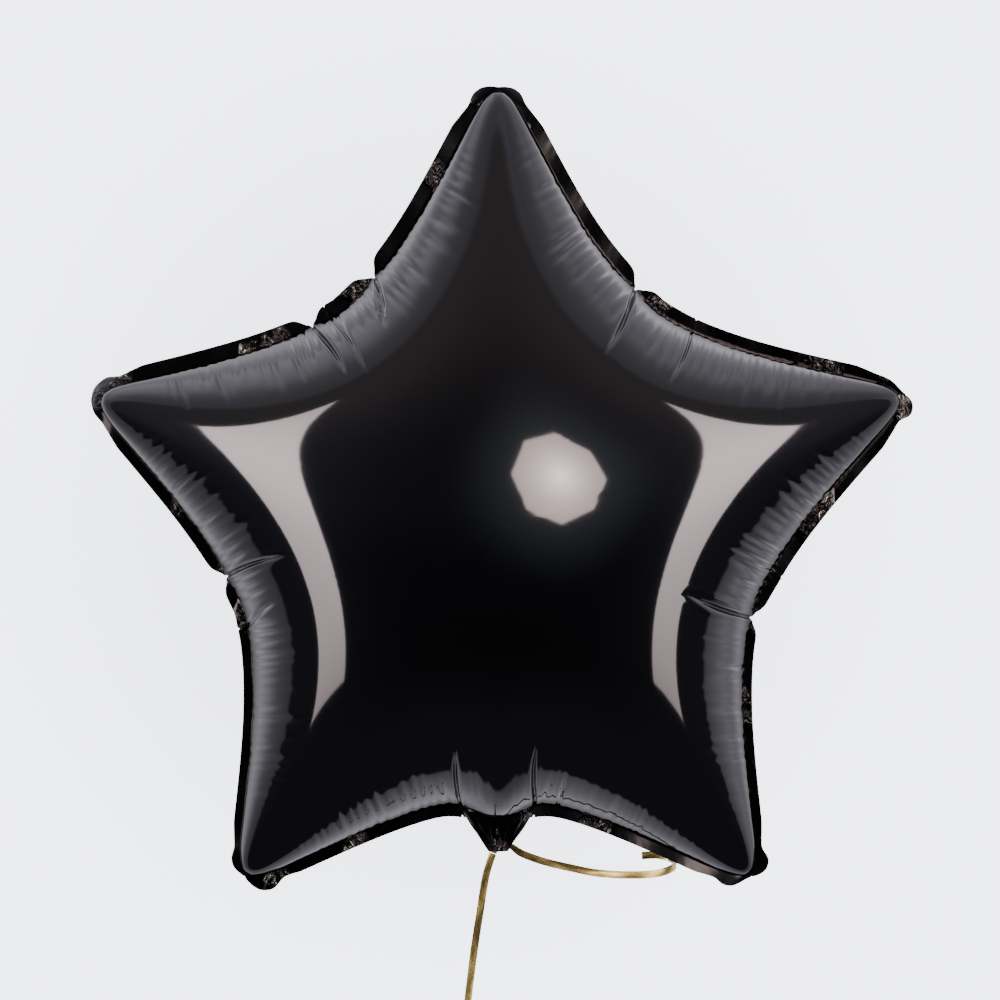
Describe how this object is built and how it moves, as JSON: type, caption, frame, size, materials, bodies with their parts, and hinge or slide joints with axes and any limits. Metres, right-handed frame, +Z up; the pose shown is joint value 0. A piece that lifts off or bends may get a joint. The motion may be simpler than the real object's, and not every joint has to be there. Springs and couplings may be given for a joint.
{
  "type": "star foil balloon",
  "caption": "Inflated star balloon of glossy black foil with a flat welded rim, gathered neck and a tied gold curling ribbon.",
  "frame": {"origin": "where the ribbon ties the neck, in the middle of the neck", "axes": "+Z up towards the top point, -Y out of the front sheet, +X to the right seen from the front"},
  "size_m": [0.4687, 0.16, 0.5686],
  "materials": {
    "black_foil": "mirror-bright black metallised film, lightly puckered at the seam",
    "gold_ribbon": "metallised gold curling ribbon with fine creases"
  },
  "bodies": {
    "root": {"foil_envelope": "black_foil", "ribbon_knot": "gold_ribbon", "ribbon_drop": "gold_ribbon", "ribbon_tail": "gold_ribbon", "ribbon_end_loop": "gold_ribbon"}
  },
  "joints": []
}
